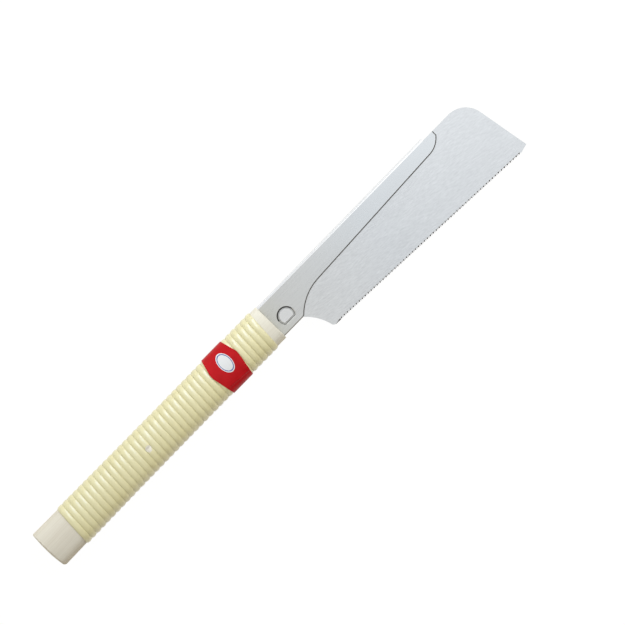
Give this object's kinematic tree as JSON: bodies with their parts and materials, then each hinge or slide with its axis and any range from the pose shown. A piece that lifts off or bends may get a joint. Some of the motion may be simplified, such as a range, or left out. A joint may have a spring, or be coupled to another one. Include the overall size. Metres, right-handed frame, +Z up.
{
  "type": "dozuki saw",
  "caption": "Pull saw with a thin replaceable blade in a folded steel back, hooked on a stud, and a straight wooden handle wound with cane.",
  "frame": {"origin": "centre of the butt face of the handle, on the plane of the blade", "axes": "+X along the handle from the butt to the toe, +Y towards the spine, +Z up out of the side that shows when the saw lies flat"},
  "size_m": [0.5006, 0.0674, 0.0265],
  "materials": {
    "wood": "bare, sanded",
    "cane": "glossy natural skin",
    "label": "gloss film",
    "back_steel": "satin nickel plate",
    "stud_steel": "satin",
    "blade_steel": "fine ground, teeth darkened by hardening",
    "pin_steel": "plain"
  },
  "bodies": {
    "handle": {"core_upper": "wood", "core_lower": "wood", "cane_front": "cane", "cane_rear": "cane", "label_band": "label", "back_channel": "back_steel", "hook_stud": "stud_steel", "tang_pin_front": "pin_steel", "tang_pin_rear": "pin_steel"},
    "blade": {"blade": "blade_steel"}
  },
  "joints": [
    {"name": "blade_swing", "type": "hinge", "parent": "handle", "child": "blade", "pos_m": [0.2682, -0.0052, 0], "axis": [0, 0, -1], "range_deg": [0, 30]}
  ]
}
